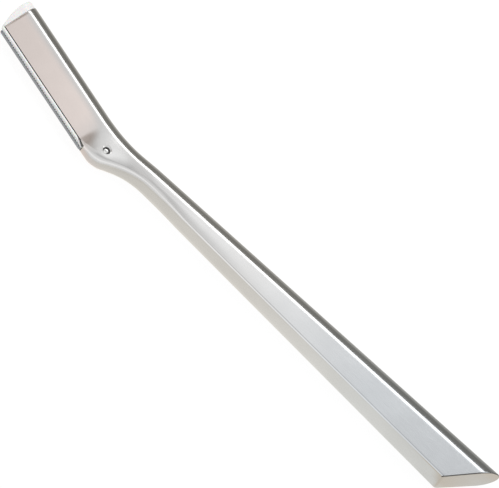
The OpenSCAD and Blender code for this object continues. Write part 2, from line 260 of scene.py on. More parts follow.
def dress(obj, node, body, material):
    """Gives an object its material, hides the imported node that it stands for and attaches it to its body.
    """
    obj.data.materials.clear()
    obj.data.materials.append(material)
    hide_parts(node)
    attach(obj, body)


# Shape of the handle

# Steps along the spine's arc, round a circle and over the front edge's turn, and points over the front face
ARC_STEPS, CIRCLE_STEPS, EDGE_STEPS, FACE_POINTS = 40, 96, 12, 14
# Curves of the blade-side outline and of the edge's radius, from the bulge's crest on
FOOT_SHARES = [(0, 0), (0.1, 0.04), (0.2, 0.16), (0.32, 0.4), (0.47, 0.66), (0.635, 0.85), (0.82, 0.96),
               (1, 1)]
FADE_SHARES = [(0, 0), (0.25, 0.36), (0.45, 0.62), (0.62, 0.8), (0.82, 0.95), (1, 1)]
# Stations of the flare and the bulge's crest, before the pin, and of the fade's end, as shares of the waist's
FLARE_SHARE, CREST_SHARE, FADE_END_SHARE = 0.5, 0.13, 1.3
# Greatest shares of the wall's height and of the face's width that the front edge takes up
EDGE_SHARE, LAP_SHARE = 0.48, 0.75
# Turns at which the flats of a crisp front edge meet, and half the rounding at the first two, in degrees
FLAT_TURNS, FLAT_HALF = (17, 33, 60), 0.7
# Degrees of the front edge's turn that are left out where the ridge is set in most
RIDGE_SKIP = 34
# Places of the two pegs, as shares of the blade's length and width
PEG_SHARES, PEG_REACH_SHARE = (0.2, 0.8), 0.62


def mix(a, b, s):
    return a + (b - a) * s


def ease(start, end, x):
    """Share of the way from start to end, with a smooth beginning and end."""
    s = min(1, max(0, (x - start) / (end - start)))
    return s * s * (3 - 2 * s)


def quarter(steps):
    """Evenly spaced angles of a quarter turn."""
    return [math.radians(90 * k / steps) for k in range(steps + 1)]


def curve(table, x):
    """Smooth curve through a table of shares."""
    def slope(i):
        if i in (0, len(table) - 1):
            return 0
        return (table[i + 1][1] - table[i - 1][1]) / (table[i + 1][0] - table[i - 1][0])
    x = min(1, max(0, x))
    i = max(k for k in range(len(table) - 1) if k == 0 or x >= table[k][0])
    h = table[i + 1][0] - table[i][0]
    s = (x - table[i][0]) / h
    return (table[i][1] * (1 + 2 * s) * (1 - s) ** 2 + slope(i) * h * s * (1 - s) ** 2
            + table[i + 1][1] * s * s * (3 - 2 * s) + slope(i + 1) * h * s * s * (s - 1))


def inset(points, reach):
    """A closed outline moved inwards."""
    moved = []
    for (v0, z0), (v, z), (v1, z1) in zip(points[-1:] + points[:-1], points, points[1:] + points[:1]):
        side = Vector((z0 - z1, v1 - v0)).normalized() * reach
        moved.append((v + side.x, z + side.y))
    return moved


def between(a, b, count):
    """Points inside the straight line from a to b."""
    return [a.lerp(b, (k + 1) / (count + 1)) for k in range(count)]


def section_of(t, back, front, foot, top, r, inward, crown=0, skip=0, crisp=0):
    """Cross-section (reach, height) of the handle, as in the part's own source, with more points."""
    round_r = t / 2
    middle = back - round_r
    edge = min(r, EDGE_SHARE * (top - foot))

    def touch(point):
        return math.atan2(point.y, point.x) - math.acos(round_r / point.length)

    def facing(a):
        return Vector((math.sin(a), -math.cos(a)))

    def corner(point, start, end, turns):
        return [point + (start - point) * (1 - math.sin(a)) + (end - point) * (1 - math.cos(a))
                for a in map(math.radians, turns)]

    p = Vector((front - middle, top - round_r))
    q = Vector((front - middle, round_r - foot))
    face = facing(touch(p))
    flat = math.sqrt(p.length_squared - round_r ** 2)
    lap = min(edge + inward, LAP_SHARE * flat)
    first, last = -touch(q), touch(p)
    back_arc = [round_r * Vector((math.cos(a), math.sin(a)))
                for a in (mix(first, last, i / ARC_STEPS) for i in range(ARC_STEPS + 1))]
    # The front edge is drawn evenly where it is wide, and in flats with narrow roundings where it is crisp
    lean = math.degrees(math.atan2(face.y, face.x))
    least, meets = 1.5, []
    for turn in FLAT_TURNS:
        meets.append(max(least, (turn - lean) * 90 / (90 - lean)))
        least = meets[-1] + 5
    one, two, three = meets
    flats = [0, 0.5, one - FLAT_HALF, one + FLAT_HALF, two - FLAT_HALF, two + FLAT_HALF, three - 1, three,
             three + 1, 88, 88.8, 89.4, 90]
    even = [90 * k / EDGE_STEPS for k in range(EDGE_STEPS + 1)]
    high = corner(p, p + lap * face, p - Vector((0, (edge + lap) / 2)),
                  [mix(skip, 90, mix(a, b, crisp) / 90) for a, b in zip(even, flats)])
    low = [Vector((v.x, -v.y)) for v in corner(q, q - Vector((0, edge)), q + edge * facing(-first), even)]
    face_line = between(back_arc[-1], high[0], FACE_POINTS)
    for k, point in enumerate(face_line):
        share = (k + 1) / (FACE_POINTS + 1)
        point.y += crown * 4 * share * (1 - share)
    points = (back_arc + face_line + high + between(high[-1], low[0], 3) + low
              + between(low[-1], back_arc[0], 4))
    return [(v.x + middle, v.y + round_r) for v in points]


class Shape:
    """The handle's outline at every station, and the places that the other pieces share."""

    def __init__(self, scene):
        h, p, c = scene.razor_handle, scene.razor_pin, scene.razor_cartridge
        self.h, self.p, self.c = h, p, c
        self.arc_half = h.bend_r * h.bend_angle / 2
        self.tangent = h.bend_r * math.tan(h.bend_angle / 2)
        self.origin = Vector((h.grip_len / 2, (h.grip_spine + h.waist_in + h.butt_spine - h.butt_out) / 4))
        self.flare_at = -FLARE_SHARE * h.waist_at
        self.crest_at = -CREST_SHARE * h.waist_at
        self.fade_end = FADE_END_SHARE * h.waist_at
        self.stack_t = c.blade_t + 2 * c.guard_t + 2 * c.leaf_t
        self.slot_t = self.stack_t + 2 * c.slot_fit
        self.lip_t = self.slot_t + 2 * h.lip_wall
        self.mid_z = h.head_t / 2
        self.fork_in = p.pin_r + c.fork_fit
        self.fork_out = self.fork_in + c.fork_wall
        self.slot_reach = self.fork_out + c.slot_fit
        self.blade_edge = -(h.lip_out + c.blade_reveal)
        self.blade_back = self.blade_edge + c.blade_w
        self.guard_edge = self.blade_edge + c.guard_back
        self.guard_fold = self.blade_back + c.guard_t
        self.leaf_edge = -(h.lip_out + c.leaf_reveal)
        self.blade_low = h.mouth_at + 2 * c.slot_fit
        self.blade_high = h.head_len - 2 * c.slot_fit
        self.blade_len = self.blade_high - self.blade_low
        self.tongue_end = self.blade_low - c.slot_fit / 2
        peg_reach = self.blade_edge + PEG_REACH_SHARE * c.blade_w
        self.pegs = [(-(self.blade_low + share * self.blade_len), peg_reach) for share in PEG_SHARES]
        corner = Vector((self.blade_side(0) - self.spine(0) + h.head_t / 2,
                         self.wall_top(0) - h.head_t / 2))
        lean = math.atan2(corner.y, corner.x) - math.acos(h.head_t / 2 / corner.length) - math.pi / 2
        self.pin_top = self.wall_top(0) - self.blade_side(0) * math.tan(lean)

    def along_grip(self, w):
        return (w - self.h.waist_at) / (self.h.grip_len - self.h.waist_at)

    def spine(self, w):
        h = self.h
        return mix(h.head_spine, mix(h.grip_spine, h.butt_spine, self.along_grip(w)),
                   ease(self.flare_at / 2, h.waist_at, w))

    def blade_side(self, w):
        h = self.h
        if w < self.crest_at:
            return -mix(h.lip_out, h.bulge_out, ease(self.flare_at, 2 * self.crest_at, w))
        if w < h.waist_at:
            return mix(-h.bulge_out, h.waist_in,
                       curve(FOOT_SHARES, (w - self.crest_at) / (h.waist_at - self.crest_at)))
        return mix(h.waist_in, -h.butt_out, ease(h.waist_at, 2 * h.waist_at, w) * self.along_grip(w))

    def wall_height(self, w):
        h = self.h
        return mix(h.neck_wall, mix(h.waist_wall, h.butt_wall, self.along_grip(w)),
                   ease(self.crest_at, h.waist_at, w))

    def flare(self, w):
        return ease(self.flare_at, 0, w)

    def wall_foot(self, w):
        return mix((self.h.head_t - self.lip_t) / 2, 0, self.flare(w))

    def wall_top(self, w):
        return mix((self.h.head_t + self.lip_t) / 2, self.wall_height(w), self.flare(w))

    def thickness(self, w):
        return mix(self.h.head_t, self.wall_height(w) + self.h.face_rise, ease(0, self.h.waist_at, w))

    def wall_r(self, w):
        h = self.h
        if w < self.crest_at:
            return mix(h.lip_edge_r, h.bulge_r, ease(self.flare_at, self.crest_at, w))
        return mix(h.bulge_r, h.edge_r,
                   curve(FADE_SHARES, (w - self.crest_at) / (self.fade_end - self.crest_at)))

    def crown(self, w):
        return self.h.face_crown * min(1, max(0, 1 - self.along_grip(w)))

    def set_in(self, w):
        h = self.h
        return (h.ridge_in * ease(2 * self.crest_at, 0.6 * h.waist_at, w)
                * (1 - ease(0.8 * h.waist_at, 2.2 * h.waist_at, w)))

    def about_middle(self, half):
        """Lowest and highest height of a layer in the middle of the head."""
        return self.mid_z - half, self.mid_z + half

    def in_part(self, x, y, z):
        return Vector((x - self.origin.x, y - self.origin.y, z))

    def in_head(self, x, y, z):
        """Place in the part of a point in the head's own frame, whose x runs towards the neck."""
        a = self.h.bend_angle
        return self.in_part(x * math.cos(a) + y * math.sin(a), y * math.cos(a) - x * math.sin(a), z)

    def at(self, w, v, z=0):
        """Place of a point at a station and reach."""
        if w > self.arc_half:
            return self.in_part(self.tangent + w - self.arc_half, v, z)
        if w < -self.arc_half:
            return self.in_head(w + self.arc_half - self.tangent, v, z)
        a, r = (self.arc_half - w) / self.h.bend_r, self.h.bend_r
        return self.in_part(self.tangent - (r - v) * math.sin(a), r - (r - v) * math.cos(a), z)

    def section(self, w):
        return section_of(self.thickness(w), self.spine(w), self.blade_side(w), self.wall_foot(w),
                          self.wall_top(w), self.wall_r(w), self.set_in(w), self.crown(w),
                          RIDGE_SKIP * self.set_in(w) / self.h.ridge_in, ease(0, self.h.waist_at, w))

    def ring(self, w):
        return [self.at(w, v, z) for v, z in self.section(w)]

    def butt_rings(self, before, beyond, point, normal, r):
        """Rings at the butt's slanting cut, whose rounded edge they draw."""
        rings = []
        for turn in quarter(8):
            near, far = ([self.at(w, v, z) for v, z in inset(self.section(w), r * (1 - math.cos(turn)))]
                         for w in (before, beyond))
            ring = []
            for a, b in zip(near, far):
                start, end = (a - point).dot(normal), (b - point).dot(normal)
                ring.append(a.lerp(b, (-r * (1 - math.sin(turn)) - start) / (end - start)))
            rings.append(ring)
        return rings


def circle(cx, cy, r, steps):
    return [(cx + r * math.cos(2 * math.pi * k / steps), cy + r * math.sin(2 * math.pi * k / steps))
            for k in range(steps)]


def arc(cx, cy, r, start, end, steps):
    """Points of an arc between two angles in degrees."""
    turns = (math.radians(mix(start, end, k / steps)) for k in range(steps + 1))
    return [(cx + r * math.cos(a), cy + r * math.sin(a)) for a in turns]


# Pieces

def mark_painted_shade(body, s, turn, butt):
    """Gives the second material to the slot and the lips' narrow walls as painted shade, and to the butt's
    upper rounding as a painted dark line.
    """
    h, near, to_head = s.h, 0.01 * MM, turn.inverted()
    reach = s.slot_reach + near
    for face in body.data.polygons:
        place = to_head @ (face.center + Vector((s.origin.x, s.origin.y, 0)))
        u, off = -place.x, abs(place.z - s.mid_z)
        low = -h.lip_out if u > h.mouth_at else -reach
        in_slot = (off < s.slot_t / 2 + near and -reach < u < h.head_len - 0.5 * MM
                   and low < place.y < reach)
        on_lip = (u > h.mouth_at and place.y < -h.lip_out + 0.02 * MM and off < s.lip_t / 2 + near
                  and abs((to_head @ face.normal).x) < 0.9)
        # The rounding is what is turned partly between the walls and the cut; darkening it paints the dark
        # line that this rounded edge would reflect
        on_butt = ((face.center - butt[0]).dot(butt[1]) > -1.01 * h.end_round
                   and 0.3 < face.normal.dot(butt[1]) < 0.85 and face.normal.z > 0.05)
        # The slot and the lips' narrow walls are darkened here as painted shade
        if in_slot or on_lip or on_butt:
            face.material_index = 1


def build_handle(scene):
    """The steel handle: grip, neck and slotted head, with the pin's hole and countersinks."""
    s = Shape(scene)
    h, p = s.h, s.p
    # The stations lie close together over the neck, and far apart along the head and the grip
    fine, coarse = 0.4 * MM, 2.2 * MM
    neck_start, neck_end = 1.6 * s.flare_at, 2.2 * h.waist_at
    first, last = -(h.head_len + 2 * MM), h.grip_len - 1.5 * MM
    stretches = ((first, neck_start, 12), (neck_start, neck_end, round((neck_end - neck_start) / fine)),
                 (neck_end, last, round((last - neck_end) / coarse)))
    stations = [mix(start, end, k / count) for start, end, count in stretches for k in range(count)]
    stations.append(mix(neck_end, last, 1))
    cut, beyond = h.butt_cut, h.grip_len + 12 * MM
    butt = (s.in_part(h.grip_len + s.tangent - s.arc_half, -h.butt_out, 0),
            Vector((math.cos(cut), -math.sin(cut), 0)))
    rings = [s.ring(w) for w in stations] + s.butt_rings(last, beyond, *butt, h.end_round)
    body = loft("razor_handle", rings)

    turn = Matrix.Rotation(-h.bend_angle, 3, "Z")
    end = (s.in_head(-h.head_len, -h.lip_out, 0),
           turn @ Vector((-math.cos(h.head_slant), -math.sin(h.head_slant), 0)))
    trim(body, *end)
    round_edges(body, in_plane(*end), h.end_edge)

    big, far = h.bulge_out + 3 * MM, -(h.head_len + 3 * MM)
    outline = [(far, -big), (far, s.slot_reach), (0, s.slot_reach)]
    outline += arc(0, 0, s.slot_reach, 90, -90, 32)[1:]
    outline += [(-h.mouth_at, -s.slot_reach), (-h.mouth_at, -big)]
    joined(body, prism("slot_cutter", outline, *s.about_middle(s.slot_t / 2), s.in_head), "DIFFERENCE")
    hole, rim, lead = p.pin_r + p.pin_fit, p.sink_r + 0.05 * MM, 0.02 * MM
    profile = [(-OVER, rim), (0, rim), (lead, p.sink_r)]
    profile += [(p.sink_depth * (1 - math.cos(a)) + lead, mix(p.sink_r, hole, math.sin(a)))
                for a in quarter(6)[1:-1]]
    profile.append((p.sink_depth + 0.05 * MM, hole))
    top = [(s.pin_top - z, r) for z, r in reversed(profile)]
    rings = [[s.in_part(x, y, z) for x, y in circle(0, 0, r, CIRCLE_STEPS)] for z, r in profile + top]
    joined(body, loft("pin_cutter", rings), "DIFFERENCE")
    smooth(body)
    # Its tones paint the tints of the reflections along the handle
    dress(body, "handle_body", "handle", satin_steel(scene))
    # The second material is rough steel darkened to paint shade in the slot and on the lips' walls, and a
    # dark line on the butt's upper rounding
    body.data.materials.append(rough_steel_painted_shade(scene))
    mark_painted_shade(body, s, turn, butt)


def build_pin(scene):
    """The neck pin, with a polished dome at each end."""
    s = Shape(scene)
    p = s.p
    ball_r = (p.pin_r ** 2 + p.dome_h ** 2) / (2 * p.dome_h)
    reach, steps = math.asin(p.pin_r / ball_r), 16
    tip_drop, tip_r = 0.00001 * MM, 0.02 * MM

    def dome(top, side):
        turns = (reach * (1 - k / steps) for k in range(steps))
        rings = [(top - side * (ball_r - ball_r * math.cos(a)), ball_r * math.sin(a)) for a in turns]
        return rings + [(top - side * tip_drop, tip_r)]

    low, high = p.dome_proud / 2, s.pin_top + p.dome_proud
    rings = list(reversed(dome(low, -1))) + dome(high, 1)
    pin = loft("polished_neck_pin", [[s.in_part(x, y, z) for x, y in circle(0, 0, r, CIRCLE_STEPS)]
                                     for z, r in rings])
    smooth(pin, degrees=50)
    # Its material paints a highlight in the middle of each dome and a dark reflection round it
    dress(pin, "neck_pin", "handle", pin_steel_with_painted_glint(scene))


def cap_rings(s):
    """Rounded rectangles across the end cap, from its blade side to its spine side."""
    h, c = s.h, s.c
    gap, r = c.cap_inset, c.cap_round / 2
    t, wall, back = h.head_t - 2 * gap, s.lip_t / 2 - gap, h.head_spine - gap
    front, round_r = gap - h.lip_out, t / 2
    poly = section_of(t, back, front, t / 2 - wall, t / 2 + wall, h.lip_edge_r, 0)
    top = -(h.head_len + c.crown_h)
    # The foot's own small rounding, and a reach just inside the outline's rounded edge
    foot_round, inside = 0.08 * MM, front + 0.15 * MM

    def heights(v):
        found = []
        for (v0, z0), (v1, z1) in zip(poly, poly[1:] + poly[:1]):
            if min(v0, v1) <= v <= max(v0, v1) and v0 != v1:
                found.append(z0 + (z1 - z0) * (v - v0) / (v1 - v0))
        return min(found) + gap, max(found) + gap

    def crown(v):
        x = c.crown_r + top - math.sqrt(c.crown_r ** 2 - (v - c.crown_peak) ** 2)
        beyond = v - (back - c.cap_corner_r)
        if beyond > 0:
            x = max(x, c.cap_corner_r + top - math.sqrt(max(0, c.cap_corner_r ** 2 - beyond ** 2)))
        return x

    def ring(v, less=0):
        """The rectangle at a reach, smaller by less at its crown and its two sides."""
        z0, z1 = heights(max(v, inside))
        x0, z0, z1 = crown(v) + less, z0 + less, z1 - less
        x1 = -(h.head_len + c.cap_seat) - math.tan(h.head_slant) * (v + h.lip_out)
        near, far = min(foot_round, (z1 - z0) / 4), min(c.cap_round, (z1 - z0) / 2.05, (x1 - x0) / 2)
        corners = ((x0 + far, z0 + far, far, 180), (x1 - near, z0 + near, near, 270),
                   (x1 - near, z1 - near, near, 0), (x0 + far, z1 - far, far, 90))
        return [s.in_head(x, v, z) for cx, cz, q, a in corners for x, z in arc(cx, cz, q, a, a + 90, 6)]

    rings = [ring(front + r * (1 - math.cos(a)), r * (1 - math.sin(a))) for a in quarter(4)]
    span = [mix(front + r, back - round_r, k / 14) for k in range(1, 15)]
    span += [back - round_r * (1 - math.sin(math.radians(a)))
             for a in (10, 20, 30, 38, 46, 54, 62, 69, 75, 80, 84, 87)]
    return rings + [ring(v) for v in span]


def two_pegs(s, r, low, high):
    one, two = [prism("pegs", circle(x, y, r, 32), low, high, s.in_head) for x, y in s.pegs]
    joined(one, two, "UNION")
    return one


def cut_peg_holes(obj, s, low, high):
    joined(obj, two_pegs(s, s.c.peg_r + s.c.peg_fit, low, high), "DIFFERENCE")


def build_frame(scene):
    """The cartridge's moulding: end cap, core with the pin's fork, front leaf and pegs."""
    s = Shape(scene)
    h, c = s.h, s.c
    low, high = s.about_middle(s.stack_t / 2)
    far = -(h.head_len + 4 * c.cap_seat)
    tip = 0.2 * math.sqrt(s.fork_out ** 2 - s.fork_in ** 2)
    lift = math.degrees(math.asin(s.fork_in / s.fork_out))
    outline = [(far, s.fork_out), (-s.tongue_end, s.fork_out)] + arc(0, 0, s.fork_out, 90, lift, 16)
    outline += [(tip, s.fork_in)] + arc(0, 0, s.fork_in, 90, 270, 32)
    outline += [(tip, -s.fork_in)] + arc(0, 0, s.fork_out, -lift, -90, 16)
    outline += [(-s.tongue_end, -s.fork_out), (-s.tongue_end, s.guard_fold), (far, s.guard_fold)]
    body = prism("cartridge_moulding", outline, low, high, s.in_head)
    leaf = [(far, s.leaf_edge), (-s.blade_low, s.leaf_edge), (-s.blade_low, s.guard_fold + c.guard_t),
            (far, s.guard_fold + c.guard_t)]
    joined(body, prism("leaf", leaf, high - c.leaf_t, high, s.in_head), "UNION")
    slant = 1.6 * MM
    inner, point = -(h.lip_out + 2 * c.slot_fit), -(h.mouth_at + slant)
    rib = [(far, s.leaf_edge), (point, s.leaf_edge), (point - slant, inner), (far, inner)]
    rib = prism("leaf_rib", rib, high - c.leaf_t / 2, high + c.rib_h, s.in_head)
    round_edges(rib, lambda edge: True, width=0.06 * MM, steps=2)
    joined(body, rib, "UNION")
    joined(body, two_pegs(s, c.peg_r, low, high - c.leaf_t / 2), "UNION")
    joined(body, loft("cap", cap_rings(s)), "UNION")
    smooth(body, degrees=32)
    dress(body, "cartridge_frame", "cartridge", white_plastic(scene))


def build_cover(scene):
    """The plastic leaf on the cartridge's back."""
    s = Shape(scene)
    c = s.c
    low = s.mid_z - s.stack_t / 2
    outline = [(-s.blade_high, s.leaf_edge), (-s.blade_low, s.leaf_edge),
               (-s.blade_low, s.guard_fold - c.peg_fit), (-s.blade_high, s.guard_fold - c.peg_fit)]
    leaf = prism("cover_leaf", outline, low, low + c.leaf_t, s.in_head)
    round_edges(leaf, lambda edge: True, width=0.05 * MM, steps=2)
    cut_peg_holes(leaf, s, low - OVER, low + OVER + c.leaf_t)
    smooth(leaf)
    dress(leaf, "cartridge_cover", "cartridge", white_plastic(scene))


def build_blade(scene):
    """The blade strip, ground to a thin edge, with two rounded corners."""
    s = Shape(scene)
    c = s.c
    half, r, thinnest = c.blade_t / 2, c.blade_corner_r, 0.004 * MM
    turns = quarter(8)
    spots = [(s.blade_low + r * (1 - math.cos(a)), r * (1 - math.sin(a))) for a in turns]
    spots += [(s.blade_high - r * (1 - math.cos(a)), r * (1 - math.sin(a))) for a in reversed(turns)]
    rings = []
    for u, away in spots:
        edge = s.blade_edge + away
        ground = s.blade_edge + c.bevel_w
        tip = max(half * away / c.bevel_w, thinnest)
        points = [(edge, -tip), (ground, -half), (s.blade_back, -half), (s.blade_back, half), (ground, half),
                  (edge, tip)]
        rings.append([s.in_head(-u, v, s.mid_z + z) for v, z in points])
    blade = loft("blade_strip", rings)
    cut_peg_holes(blade, s, *s.about_middle(OVER))
    smooth(blade, degrees=12)
    dress(blade, "razor_blade", "cartridge", blade_steel(scene))


def build_guard(scene):
    """Folded sheet over the blade's back, with a row of rounded teeth on each side of its edge."""
    s = Shape(scene)
    c = s.c
    outer = c.blade_t / 2 + c.guard_t
    count = math.floor((s.blade_len - 2 * c.blade_corner_r) / c.tooth_pitch + 1e-6)
    row = (count - 1) * c.tooth_pitch + c.tooth_gap
    first = (s.blade_low + s.blade_high - row) / 2
    r, tip = c.tooth_gap / 2, 0.07 * MM
    corner = c.blade_corner_r - c.guard_t
    edge, deep = s.guard_edge, s.guard_edge + c.tooth_depth
    outline = arc(s.blade_low + corner, edge + corner, corner, 180, 270, 5)
    for i in range(count):
        u = first + i * c.tooth_pitch
        outline += arc(u - tip, edge + tip, tip, 270, 360, 3)
        outline += arc(u + r, deep - r, r, 180, 0, 8)
        outline += arc(u + 2 * r + tip, edge + tip, tip, 180, 270, 3)
    outline += arc(s.blade_high - corner, edge + corner, corner, 270, 360, 5)
    outline += [(s.blade_high, s.guard_fold), (s.blade_low, s.guard_fold)]
    outline = [(-u, v) for u, v in outline]
    guard = prism("toothed_guard", outline, *s.about_middle(outer), s.in_head)
    far, near = -(s.blade_high + OVER), -(s.blade_low - OVER)
    gap = [(far, edge - OVER), (near, edge - OVER), (near, s.blade_back), (far, s.blade_back)]
    joined(guard, prism("gap", gap, *s.about_middle(c.blade_t / 2), s.in_head), "DIFFERENCE")
    cut_peg_holes(guard, s, *s.about_middle(2 * outer))
    smooth(guard)
    dress(guard, "guard_cover", "cartridge", guard_steel(scene))


# Materials

class Nodes:
    """A node tree being filled. The inputs given for a node are values, or sockets to link."""

    def __init__(self, tree):
        self.tree = tree

    def add(self, kind, inputs=None, **settings):
        node = self.tree.nodes.new(kind)
        for key, value in settings.items():
            setattr(node, key, value)
        for key, value in (inputs or {}).items():
            if isinstance(value, bpy.types.NodeSocket):
                self.tree.links.new(value, node.inputs[key])
            else:
                node.inputs[key].default_value = value
        return node

    def calc(self, operation, *values):
        return self.add("ShaderNodeMath", dict(enumerate(values)), operation=operation).outputs[0]

    def vector_calc(self, operation, *values):
        node = self.add("ShaderNodeVectorMath", dict(enumerate(values)), operation=operation)
        return node.outputs["Value" if operation in ("LENGTH", "DOT_PRODUCT") else "Vector"]

    def place(self):
        return self.add("ShaderNodeTexCoord").outputs["Object"]

    def split(self, vector):
        return self.add("ShaderNodeSeparateXYZ", {"Vector": vector}).outputs

    def grey(self, value):
        return self.add("ShaderNodeCombineColor", {"Red": value, "Green": value, "Blue": value}).outputs[0]

    def ranged(self, value, low, high, to_low, to_high, smoothly=False):
        inputs = {"Value": value, "From Min": low, "From Max": high, "To Min": to_low, "To Max": to_high}
        return self.add("ShaderNodeMapRange", inputs,
                        interpolation_type="SMOOTHSTEP" if smoothly else "LINEAR").outputs["Result"]

    def blend(self, factor, a, b, kind="RGBA", way="MIX"):
        first, out = {"FLOAT": (2, 0), "VECTOR": (4, 1), "RGBA": (6, 2)}[kind]
        return self.add("ShaderNodeMix", {0: factor, first: a, first + 1: b},
                        data_type=kind, blend_type=way).outputs[out]

    def ramp(self, value, stops):
        """Colour ramp through stops of place and colour, or of place and plain value."""
        node = self.add("ShaderNodeValToRGB", {"Fac": value})
        elements = node.color_ramp.elements
        while len(elements) < len(stops):
            elements.new(0.5)
        for element, stop in zip(elements, stops):
            element.position = stop[0]
        for element, (place, colour) in zip(elements, stops):
            colour = [colour] * 3 if isinstance(colour, (int, float)) else list(colour)[:3]
            element.position, element.color = place, (*colour, 1.0)
        return node.outputs["Color"]

    def emission(self, colour, strength=1.0):
        return self.add("ShaderNodeEmission", {"Color": colour, "Strength": strength}).outputs[0]

    def end(self, shader, kind="ShaderNodeOutputMaterial"):
        self.add(kind, {"Surface": shader})


def new_material(name):
    material = bpy.data.materials.new(name)
    material.use_nodes = True
    material.node_tree.nodes.clear()
    return material, Nodes(material.node_tree)


def grain_group():
    """Shared group: fine grain drawn out along the first axis, with a soft mottle under it."""
    name = "Drawn grain"
    if name in bpy.data.node_groups:
        return bpy.data.node_groups[name]
    group = bpy.data.node_groups.new(name, "ShaderNodeTree")
    group.interface.new_socket(name="Vector", in_out="INPUT", socket_type="NodeSocketVector")
    for label, value in (("Along", 300.0), ("Across", 6000.0), ("Mottle", 120.0), ("Depth", 0.05)):
        socket = group.interface.new_socket(name=label, in_out="INPUT", socket_type="NodeSocketFloat")
        socket.default_value = value
    for label, kind in (("Grain", "Float"), ("Mottle", "Float"), ("Normal", "Vector")):
        group.interface.new_socket(name=label, in_out="OUTPUT", socket_type="NodeSocket" + kind)
    n = Nodes(group)
    given = n.add("NodeGroupInput").outputs
    stretch = n.add("ShaderNodeCombineXYZ",
                    {"X": given["Along"], "Y": given["Across"], "Z": given["Across"]})
    drawn = n.vector_calc("MULTIPLY", given["Vector"], stretch.outputs[0])
    fine = n.add("ShaderNodeTexNoise", {"Vector": drawn, "Scale": 1.0, "Detail": 3.0, "Roughness": 0.6})
    soft = n.add("ShaderNodeTexNoise", {"Vector": given["Vector"], "Scale": given["Mottle"], "Detail": 2.0,
                                        "Roughness": 0.5})
    bump = n.add("ShaderNodeBump", {"Height": fine.outputs["Fac"], "Strength": given["Depth"],
                                    "Distance": 0.05 * MM})
    n.add("NodeGroupOutput", {"Grain": fine.outputs["Fac"], "Mottle": soft.outputs["Fac"],
                              "Normal": bump.outputs["Normal"]})
    return group


def grain(nodes, vector, along, across, mottle, depth):
    inputs = {"Vector": vector, "Along": along, "Across": across, "Mottle": mottle, "Depth": depth}
    return nodes.add("ShaderNodeGroup", inputs, node_tree=grain_group()).outputs


# Parts of the range of each mask over which the materials follow it
SPREAD = {"Mottle": (0.3, 0.7), "Grain": (0.2, 0.8)}


def dimmed(nodes, g, colour, share, mask="Mottle"):
    """A colour that falls to a share of itself where the mask is high."""
    low = [share * v for v in colour[:3]] + [1.0]
    return nodes.blend(nodes.ranged(g[mask], *SPREAD[mask], 0.0, 1.0), colour, low)


def end_material(material, nodes, g, colour, rough, mask="Grain", values=None):
    """Ends a material whose roughness follows a mask between two values; with no values it is a metal."""
    inputs = {"Base Color": colour, "Roughness": nodes.ranged(g[mask], *SPREAD[mask], *rough),
              "Normal": g["Normal"]}
    nodes.end(nodes.add("ShaderNodeBsdfPrincipled", inputs | (values or {"Metallic": 1.0})).outputs["BSDF"])
    return material


def head_axes(nodes, shape):
    """The place along X, and coordinates that follow the head on the head and the grip on the grip."""
    place = nodes.place()
    turned = nodes.add("ShaderNodeMapping", {"Vector": place, "Rotation": (0.0, 0.0, shape.h.bend_angle)},
                       vector_type="POINT").outputs[0]
    along = nodes.split(place)["X"]
    pin, half = -shape.origin.x, 6 * MM
    side = nodes.ranged(along, pin - half, pin + half, 1.0, 0.0, True)
    return along, nodes.blend(side, place, turned, kind="VECTOR")


def satin_steel(scene):
    """Satin steel with painted reflection tints: warm on the head's face, rosy along the bulge, plain on the
    neck and cool at the butt.
    """
    material, n = new_material("satin_steel_handle")
    shape, look = Shape(scene), scene.razor_finishes
    along, axes = head_axes(n, shape)
    g = grain(n, axes, 260.0, 5200.0, 90.0, look.grain)
    pin, bend = -shape.origin.x, shape.h.bend_angle
    across = n.split(axes)["Y"]
    face_line = -(shape.origin.x * math.sin(bend) + shape.origin.y * math.cos(bend))
    # Painted reflection: the warm and rosy tints cover the front face and stop short of the spine, where the
    # steel is left neutral
    on_face = n.ranged(across, face_line + 1 * MM, face_line + 3.2 * MM, 1.0, 0.0, True)
    on_head = n.ranged(along, pin - 11 * MM, pin - 3 * MM, 1.0, 0.0, True)
    # The rosy tone, a painted reflection tint, reaches past the pin along the bulge and stops short of it
    # beside the spine
    lean = 1.3
    reach = pin + lean * face_line
    slanted = n.calc("MULTIPLY_ADD", across, lean, along)
    on_bulge = n.ranged(slanted, reach - 9 * MM, reach - 2 * MM, 1.0, 0.0, True)
    # Places of the cool tone's stops, as shares of the way from the head's end to the butt. The dimmer stops
    # over the head paint shade on its spine side, and the tone is darker towards the butt.
    cool = n.ramp(n.ranged(along, pin - 40 * MM, pin + 112 * MM, 0.0, 1.0),
                  [(0, [0.92 * v for v in look.steel_neck]), (0.22, [0.94 * v for v in look.steel_neck]),
                   (0.27, look.steel_neck), (0.56, look.steel_neck), (0.82, look.steel_cool),
                   (1, [0.91 * v for v in look.steel_cool])])
    # The head's warm tone is a painted reflection tint, darker towards the head's end
    head = n.ramp(n.ranged(along, pin - 38 * MM, pin - 6 * MM, 0.0, 1.0),
                  [(0, [0.87 * v for v in look.steel_warm]), (1, look.steel_warm)])
    bulge = n.blend(n.calc("MULTIPLY", on_face, on_bulge), cool, look.steel_bulge)
    tone = n.blend(n.calc("MULTIPLY", on_face, on_head), bulge, head)
    shade = n.ranged(g["Mottle"], *SPREAD["Mottle"], 0.965, 1.03)
    streak = n.ranged(g["Grain"], 0.25, 0.75, 0.975, 1.02)
    colour = n.blend(1.0, tone, n.grey(n.calc("MULTIPLY", shade, streak)), way="MULTIPLY")
    return end_material(material, n, g, colour, (look.satin - 0.025, look.satin + 0.035))


